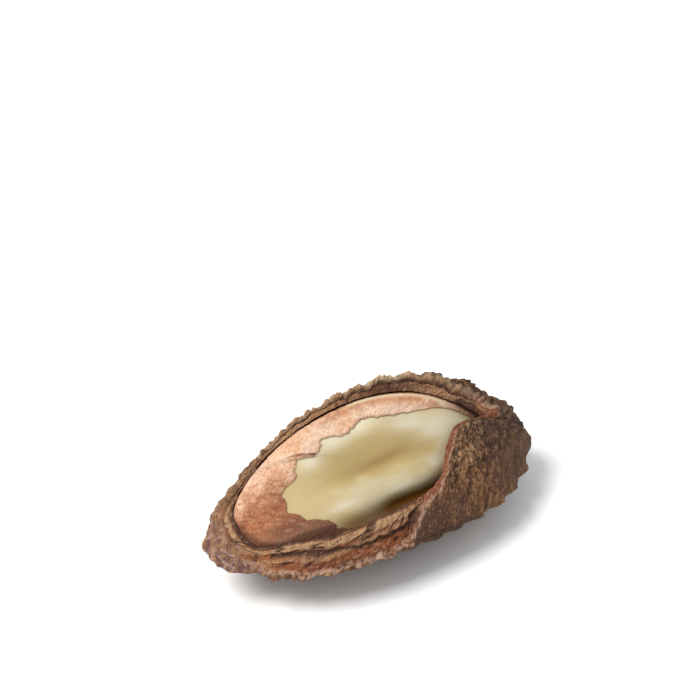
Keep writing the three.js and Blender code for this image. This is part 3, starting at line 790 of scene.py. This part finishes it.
# Colours as they look on a screen, 0 to 255.
SHELL_TONES = {
    "cork": (111, 71, 45), "deep cork": (104, 68, 40), "smooth bark": (101, 68, 53),
    "brown patch": (90, 57, 41), "tip": (126, 89, 85), "tip's vein": (214, 172, 162),
    "flake": (186, 136, 88), "flake highlight": (226, 182, 136), "crest highlight": (192, 142, 95),
    "hollow bark shade": (60, 38, 27), "pit": (66, 44, 34), "right end shade": (99, 74, 63), "open crack": (56, 36, 26),
    "dark speck": (56, 37, 29), "cord": (246, 212, 174), "dimple": (140, 106, 82), "timber": (162, 92, 52),
    "deep timber": (128, 75, 48), "pale fibre": (196, 130, 90), "slope": (138, 82, 58), "lip": (210, 164, 122),
    "timber pit": (106, 62, 40), "far gap shade": (76, 50, 38), "groove": (92, 66, 50), "dark grain": (96, 56, 40),
    "pale grain": (222, 176, 142), "crevice": (58, 36, 28), "nook_shade": (80, 42, 30), "inside": (104, 70, 52),
    "fringe": (216, 174, 150),
}
FLESH_TONES = {
    "flesh": (238, 222, 180), "deep flesh": (228, 202, 148), "upper flesh": (214, 186, 124),
    "streak": (200, 172, 118), "cream": (250, 238, 206), "ochre": (180, 146, 88), "shade": (134, 86, 28),
}
SKIN_TONES = {
    "pink": (250, 214, 186), "salmon": (240, 188, 150), "near": (188, 117, 73), "near patch": (164, 104, 70),
    "umber": (110, 67, 46), "rust": (206, 136, 90), "wrinkle": (134, 80, 54), "fibre": (150, 90, 58),
    "pale fibre": (250, 210, 178), "vein": (168, 108, 78), "orange": (208, 142, 88), "grey": (146, 110, 86),
    "smooth": (136, 94, 70), "rim_shadow_and_stain": (84, 46, 26), "torn edge": (150, 98, 66),
    "bare flesh": (250, 236, 200),
}
FLOOR_TONES = {"floor": (250, 251, 252)}


class Socket:
    """An output of a shader node that adds, subtracts and multiplies like a number."""

    def __init__(self, look, output):
        self.look, self.output = look, output

    def maths(self, operation, *values):
        return self.look.node("ShaderNodeMath", {"operation": operation}, dict(enumerate(values)))

    def __add__(self, other):
        return self.maths("ADD", self, other)

    def __mul__(self, other):
        return self.maths("MULTIPLY", self, other)

    def __sub__(self, other):
        return self.maths("SUBTRACT", self, other)

    def __rsub__(self, other):
        return self.maths("SUBTRACT", other, self)

    __radd__, __rmul__ = __add__, __mul__

    def between(self, low, high):
        """0 below low, 1 above high, smooth between them."""
        inputs = {"Value": self, "From Min": low, "From Max": high}
        return self.look.node("ShaderNodeMapRange", {"interpolation_type": "SMOOTHSTEP"}, inputs)


class Look:
    """A material with its palette and its shader nodes."""

    MIX_FIRST, MIX_SECOND, MIX_RESULT = 6, 7, 2  # the sockets for colours have no names of their own

    def __init__(self, name, tones):
        self.palette = {tone: linear(*colour) for tone, colour in tones.items()}
        self.material = bpy.data.materials.new(name)
        self.material.use_nodes = True
        self.tree = self.material.node_tree
        self.shader = self.tree.nodes["Principled BSDF"]
        self.where = self.node("ShaderNodeTexCoord", {}, {}, "Object")

    def feed(self, socket, value):
        if isinstance(value, Socket):
            self.tree.links.new(value.output, socket)
        elif isinstance(value, tuple) and len(value) == 3 and socket.type == "RGBA":
            socket.default_value = (*value, 1)
        else:
            socket.default_value = value

    def node(self, kind, settings, inputs, output=0):
        made = self.tree.nodes.new(kind)
        for name, setting in settings.items():
            setattr(made, name, setting)
        for name, value in inputs.items():
            self.feed(made.inputs[name], value)
        return Socket(self, made.outputs[output])

    def attributes(self, *names):
        """What the mesh says at each point, by these names."""
        return [self.node("ShaderNodeAttribute", {"attribute_name": name}, {}, "Fac") for name in names]

    def noise(self, size, detail=2, stretch=(1, 1, 1), seed=0, turned=(0, 0, 0)):
        """Noise from 0 to 1 with cells of this size in mm, longer along an axis where it is stretched."""
        inputs = {"Vector": self.where, "Scale": stretch, "Location": (seed, seed, seed), "Rotation": turned}
        placed = self.node("ShaderNodeMapping", {"vector_type": "TEXTURE"}, inputs)
        inputs = {"Vector": placed, "Scale": 1 / (size * MM), "Detail": detail}
        return self.node("ShaderNodeTexNoise", {}, inputs)

    def ridge(self, noise):
        """1 along the middle value of a noise, falling off on both sides."""
        away = noise - 0.5
        return 1 - away.maths("ABSOLUTE", away) * 5

    def cracks(self, size, wobble):
        """Distance from cracks between cells of this size in mm, 0 on a crack, with this much wandering."""
        scale = 1 / (size * MM)
        moved = self.node("ShaderNodeTexNoise", {}, {"Vector": self.where, "Scale": scale}, "Color")
        moved = self.shade(moved, wobble / scale)
        placed = self.node("ShaderNodeVectorMath", {"operation": "ADD"}, {0: self.where, 1: moved})
        inputs = {"Vector": placed, "Scale": scale}
        return self.node("ShaderNodeTexVoronoi", {"feature": "DISTANCE_TO_EDGE"}, inputs)

    def mix(self, factor, first, second):
        """A colour between two, by factor."""
        inputs = {"Factor": factor, self.MIX_FIRST: first, self.MIX_SECOND: second}
        return self.node("ShaderNodeMix", {"data_type": "RGBA"}, inputs, self.MIX_RESULT)

    def layers(self, colour, *layers):
        """A colour or tone, with tones of the palette laid over it in turn, each by its own factor."""
        if isinstance(colour, str):
            colour = self.palette[colour]
        for factor, tone in layers:
            colour = self.mix(factor, colour, self.palette[tone])
        return colour

    def shade(self, colour, amount):
        """A colour or vector times a number."""
        return self.node("ShaderNodeVectorMath", {"operation": "SCALE"}, {0: colour, "Scale": amount})

    def finish(self, colour, roughness, bump, bump_mm, tone=NUT_TONE):
        self.shader.inputs["Specular IOR Level"].default_value = SHEEN
        normal = self.node("ShaderNodeBump", {}, {"Height": bump, "Distance": bump_mm * MM, "Strength": 1})
        self.feed(self.shader.inputs["Base Color"], self.shade(colour, tone))
        self.feed(self.shader.inputs["Roughness"], roughness)
        self.feed(self.shader.inputs["Normal"], normal)
        return self.material


def linear(red, green, blue):
    """A linear colour from one as it looks on a screen, 0 to 255."""
    return tuple(((c / 255 + 0.055) / 1.055) ** 2.4 if c > 10 else c / 255 / 12.92 for c in (red, green, blue))


BARK_LIES = tuple(Vector(FURROWS_RUN).to_track_quat("Z", "Y").to_euler())


def bark_and_wood():
    look = Look("corky_shell", SHELL_TONES)
    pit, flaky, smooth, painted_cap_highlight, painted_right_end_shade, tip = look.attributes("pit", "flaky", "smooth", "painted_cap_highlight", "painted_right_end_shade", "end")
    wood, hollow, crevice, groove, far = look.attributes("wood", "hollow", "crevice", "groove", "far")
    slope, nook_shade, fringe, cord, lip, fibre = look.attributes("slope", "nook_shade", "fringe", "cord", "lip", "fibre")
    speckle, fine = look.noise(0.45, 3), look.noise(0.17)
    furrow = look.ridge(look.noise(0.7, 3, (1, 1, 5), 7, BARK_LIES))
    crease = look.ridge(look.noise(0.5, 2, (1, 1, 2), 5, BARK_LIES))
    # Open cracks between bark cells, sunk in the bump and painted dark as the shade inside them.
    open_crack = (1 - look.cracks(0.95, 0.55).between(0.01, 0.12)) * flaky * (1 - tip * 0.8) * (1 - cord)
    open_crack = open_crack * look.noise(1.1, seed=9).between(0.42, 0.58)
    relief = furrow * (1 - smooth * 0.5) * 0.3 + crease * 0.35 + speckle * 0.55 + fine * 0.35
    relief = relief - open_crack * 0.4
    bark = look.layers(
        "cork",
        (look.noise(5).between(0.35, 0.65), "deep cork"),
        (smooth * 0.7, "smooth bark"),
        (look.noise(3, seed=4).between(0.5, 0.7) * 0.7, "brown patch"),
        (tip * 0.8, "tip"),
        (tip * look.ridge(look.noise(1.6, seed=15)).between(0.6, 0.95) * 0.7, "tip's vein"),
        # paler raised flakes where there is no pit: partly their own tan, partly painted highlight
        ((1 - pit).between(0.5, 0.95) * (flaky * 0.3 + 0.35), "flake"),
        # painted highlight on the creases beside the cap's slope
        (painted_cap_highlight * crease.between(0.4, 0.75) * 0.7, "flake highlight"),
        # painted highlight on the relief's crests
        (relief.between(0.78, 1.05) * (flaky * 0.2 + 0.55), "crest highlight"),
        # painted shade in the relief's low places
        (relief.between(0.68, 0.4) * 0.6, "hollow bark shade"),
        # painted shade in the bark's pits
        (pit.between(0.5, 1) * (1 - tip) * 0.5, "pit"),
        # painted shade at the +X end
        (painted_right_end_shade * 0.5, "right end shade"),
        # painted shade in the open cracks
        (open_crack * 0.5, "open crack"),
        (smooth * look.noise(0.35, seed=21).between(0.6, 0.7) * 0.6, "dark speck"),
        (cord, "cord"),
        (cord * speckle.between(0.5, 0.35) * 0.6, "dimple"),
    )
    grain = look.noise(0.3, 3, (2.5, 1, 1), 12)
    timber = look.layers(
        "timber",
        (look.noise(2.4, 3, (2, 1, 1)).between(0.35, 0.65), "deep timber"),
        (fibre.between(0, 0.6) * 0.6, "pale fibre"),
        (slope * 0.85, "slope"),
        (lip * 0.9, "lip"),
        # painted shade between the break's fibres
        (pit.between(0.35, 1) * 0.8, "timber pit"),
        # painted shade in the crevice behind the far cord
        (far * 0.85, "far gap shade"),
        # painted shade in the groove, the slot and at the brink
        (groove * 0.9, "groove"),
        (grain.between(0.55, 0.72) * 0.5, "dark grain"),
        (grain.between(0.45, 0.3) * 0.4, "pale grain"),
        # painted shade in the slanting crevices
        (crevice * 0.9, "crevice"),
        # painted shade in the corner under the cap's edge
        (nook_shade * 0.85, "nook_shade"),
        (hollow, "inside"),
    )
    torn = fringe * look.noise(0.7, seed=2).between(0.35, 0.55) * 0.85
    colour = look.layers(look.mix(wood, bark, timber), (torn, "fringe"))
    colour = look.shade(colour, fine * 0.6 + 0.7)
    return look.finish(colour, look.noise(1.2) * 0.2 + 0.7, relief + grain * wood * 0.5, 0.3)


def kernel_flesh():
    look = Look("kernel_flesh", FLESH_TONES)
    ochre, upper, shade, lump, cream = look.attributes("ochre", "upper", "shade", "lump", "cream")
    cloud = look.noise(4, 2, (1.6, 1, 1))
    streak = look.noise(1.4, 3, (5, 1, 1), 3)
    colour = look.layers(
        "flesh",
        (cloud.between(0.35, 0.65), "deep flesh"),
        (upper * cloud.between(0.2, 0.5), "upper flesh"),
        (streak.between(0.5, 0.75) * 0.25, "streak"),
        (lump.between(0.1, 0.7) * 0.2, "streak"),
        # cream patches, partly painted highlight
        (cream * (streak * 0.4 + 0.8), "cream"),
        # ochre, partly painted shade in the groove
        (ochre * (streak * 0.6 + 0.6), "ochre"),
        (shade * (cloud * 0.4 + 1.05), "shade"),
    )
    look.shader.inputs["Subsurface Weight"].default_value = 0.2
    look.shader.inputs["Subsurface Radius"].default_value = (0.9, 0.7, 0.4)
    look.shader.inputs["Subsurface Scale"].default_value = 0.9 * MM
    return look.finish(colour, streak * 0.2 + 0.36, look.noise(0.3, 2, (3, 1, 1)), 0.03)


def kernel_skin():
    look = Look("kernel_skin", SKIN_TONES)
    vein, wrinkle, peel, near, umber = look.attributes("vein", "wrinkle", "peel", "near", "umber")
    orange, grey, smooth, rim_shadow_and_stain = look.attributes("orange", "grey", "smooth", "rim_shadow_and_stain")
    bare, rust = look.attributes("bare", "rust")
    patch, fine = look.noise(3.2, 3), look.noise(0.2)
    fibre = look.noise(0.26, 3, (3.5, 1, 1), turned=(0, 0, 0.5))
    colour = look.layers(
        # pink base, partly painted highlight; the near layers below are partly painted shade
        "pink",
        (patch.between(0.35, 0.62), "salmon"),
        (near, "near"),
        (near * patch.between(0.42, 0.6) * 0.6, "near patch"),
        (umber * 0.85, "umber"),
        (rust * 0.7, "rust"),
        (wrinkle.between(0, -0.5) * (near * 0.65 + 0.2), "wrinkle"),
        (fibre.between(0.48, 0.66) * (near * 0.45 + 0.3), "fibre"),
        (fibre.between(0.44, 0.3) * (0.45 - near * 0.3), "pale fibre"),
        (wrinkle.between(0.05, 0.6) * (0.6 - near * 0.45), "pink"),
        (vein.between(0.75, 0.95) * 0.2, "vein"),
        (orange * 0.5, "orange"),
        (grey * 0.8, "grey"),
        # smooth brown skin, partly painted shade by the near lip
        (smooth * 0.85, "smooth"),
        # painted rim shadow and stain
        (rim_shadow_and_stain * 0.75, "rim_shadow_and_stain"),
        (peel * 0.6, "torn edge"),
        # bare flesh and painted highlight along the far rim
        (bare * 0.85, "bare flesh"),
    )
    colour = look.shade(colour, fine * 0.4 + 0.8)
    return look.finish(colour, patch * 0.15 + 0.5, fibre + fine * 0.5, 0.12, SKIN_TONE)


def pale_floor():
    look = Look("pale_floor", FLOOR_TONES)
    mottle = look.noise(60)
    colour = look.shade(look.palette["floor"], mottle * 0.02 + 0.99)
    return look.finish(colour, mottle * 0.05 + 0.6, mottle, 0, 1)


# ---- The pieces.
def dress(name, grid, material, node):
    piece = closed_piece(name, *grid)
    piece.data.materials.append(material)
    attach(piece, "root")
    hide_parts(node)


def floor():
    mesh = bpy.data.meshes.new("floor")
    corners = [(x * FLOOR_HALF, y * FLOOR_HALF, 0) for x, y in ((-1, -1), (1, -1), (1, 1), (-1, 1))]
    mesh.from_pydata(corners, [], [(0, 1, 2, 3)])
    mesh.materials.append(pale_floor())
    linked("floor", mesh)


def aimed(name, data, place, back):
    """A camera or light at this place, with this direction behind it."""
    made = linked(name, data)
    made.location = place
    made.rotation_mode = "QUATERNION"
    made.rotation_quaternion = (-back).to_track_quat("-Z", "Y")
    return made


def key_light():
    data = bpy.data.lights.new("key", "AREA")
    data.energy, data.size, data.color = KEY_POWER, KEY_SIZE, KEY_COLOUR
    aimed("key", data, KEY_PLACE, KEY_PLACE)


def studio():
    world = bpy.data.worlds.new("studio")
    world.use_nodes = True
    background = world.node_tree.nodes["Background"]
    background.inputs["Color"].default_value = SKY_COLOUR
    background.inputs["Strength"].default_value = SKY_STRENGTH
    bpy.context.scene.world = world
    bpy.context.scene.view_settings.view_transform = "Standard"


def camera():
    back = Vector((
        math.sin(CAMERA_AZIMUTH) * math.cos(CAMERA_ELEVATION),
        -math.cos(CAMERA_AZIMUTH) * math.cos(CAMERA_ELEVATION),
        math.sin(CAMERA_ELEVATION),
    ))
    data = bpy.data.cameras.new("camera")
    data.lens, data.sensor_width = CAMERA_LENS, CAMERA_SENSOR
    data.clip_start, data.clip_end = CAMERA_SEES
    bpy.context.scene.camera = aimed("camera", data, AIM + back * CAMERA_DISTANCE, back)


camera()
dress("shell_bark", shell_grid(), bark_and_wood(), "shell")
dress("kernel_nut", kernel_grid(), kernel_flesh(), "kernel")
dress("kernel_brown_skin", skin_grid(), kernel_skin(), "kernel_skin")
floor()
key_light()
studio()
